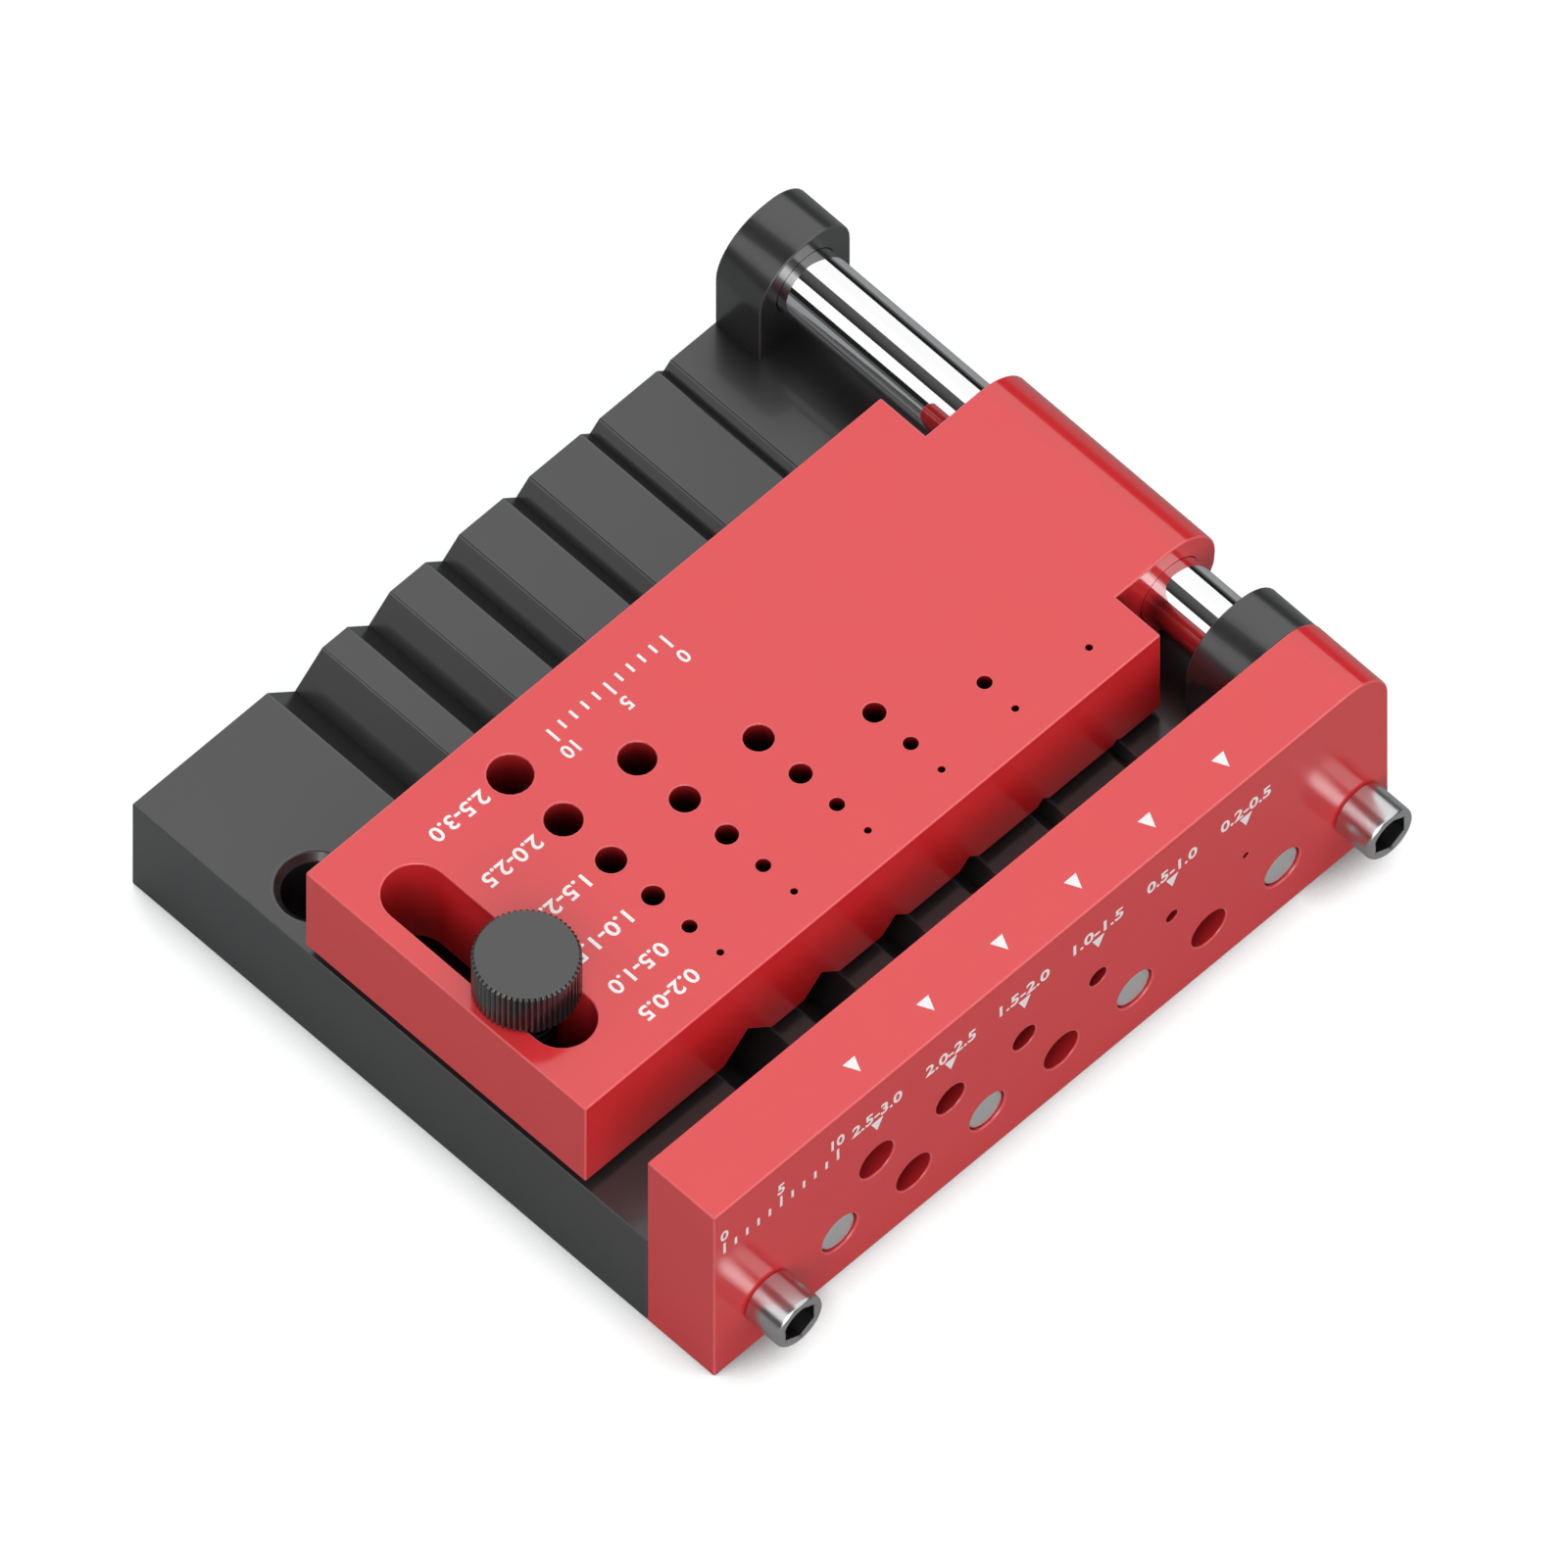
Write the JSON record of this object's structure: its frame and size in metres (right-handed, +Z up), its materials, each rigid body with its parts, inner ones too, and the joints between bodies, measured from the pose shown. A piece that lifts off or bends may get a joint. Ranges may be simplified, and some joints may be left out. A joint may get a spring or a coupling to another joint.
{
  "type": "rod drilling jig",
  "caption": "Small metal drilling jig: a grooved base and end block hold thin rods under a hinged, sliding plate with a grid of guide holes, clamped down by a knurled thumbscrew.",
  "frame": {"origin": "on the underside of the base, at the middle of the footprint of base and end block", "axes": "+X from the free edge of the plate to its hinge, -Y towards the end block with the guide holes, +Z up"},
  "size_m": [0.0595, 0.0551, 0.0217],
  "materials": {
    "black_anodised": "satin black anodised",
    "red_anodised": "satin red anodised",
    "polished_steel": "polished",
    "steel": "plain",
    "nickel": "nickel plated"
  },
  "bodies": {
    "base": {"base_plate": "black_anodised", "end_block": "red_anodised", "cap_screw_left": "polished_steel", "cap_screw_right": "polished_steel", "magnet_1": "nickel", "magnet_2": "nickel", "magnet_3": "nickel", "magnet_4": "nickel", "locating_pin_left": "steel", "locating_pin_right": "steel"},
    "shaft": {"hinge_shaft": "polished_steel"},
    "plate": {"clamp_plate": "red_anodised"},
    "stud": {"thumbscrew_stud": "steel"},
    "knob": {"thumbscrew_knob": "black_anodised"}
  },
  "joints": [
    {"name": "plate_swing", "type": "hinge", "parent": "base", "child": "shaft", "pos_m": [0.0257, 0, 0.0139], "axis": [0, 1, 0], "range_deg": [0, 180]},
    {"name": "plate_slide", "type": "slide", "parent": "shaft", "child": "plate", "axis": [0, -1, 0], "range_m": [-0.003, 0.005]},
    {"name": "thumbscrew_lift", "type": "slide", "parent": "shaft", "child": "stud", "axis": [0, 0, 1], "range_m": [0, 0.0049]},
    {"name": "thumbscrew_turn", "type": "hinge", "parent": "stud", "child": "knob", "pos_m": [-0.02585, -0.00535, 0.018], "axis": [0, 0, 1], "range_deg": [0, 2520]}
  ],
  "couplings": [
    {"joint": "thumbscrew_turn", "follows": "thumbscrew_lift", "rad_per_m": 8976}
  ]
}
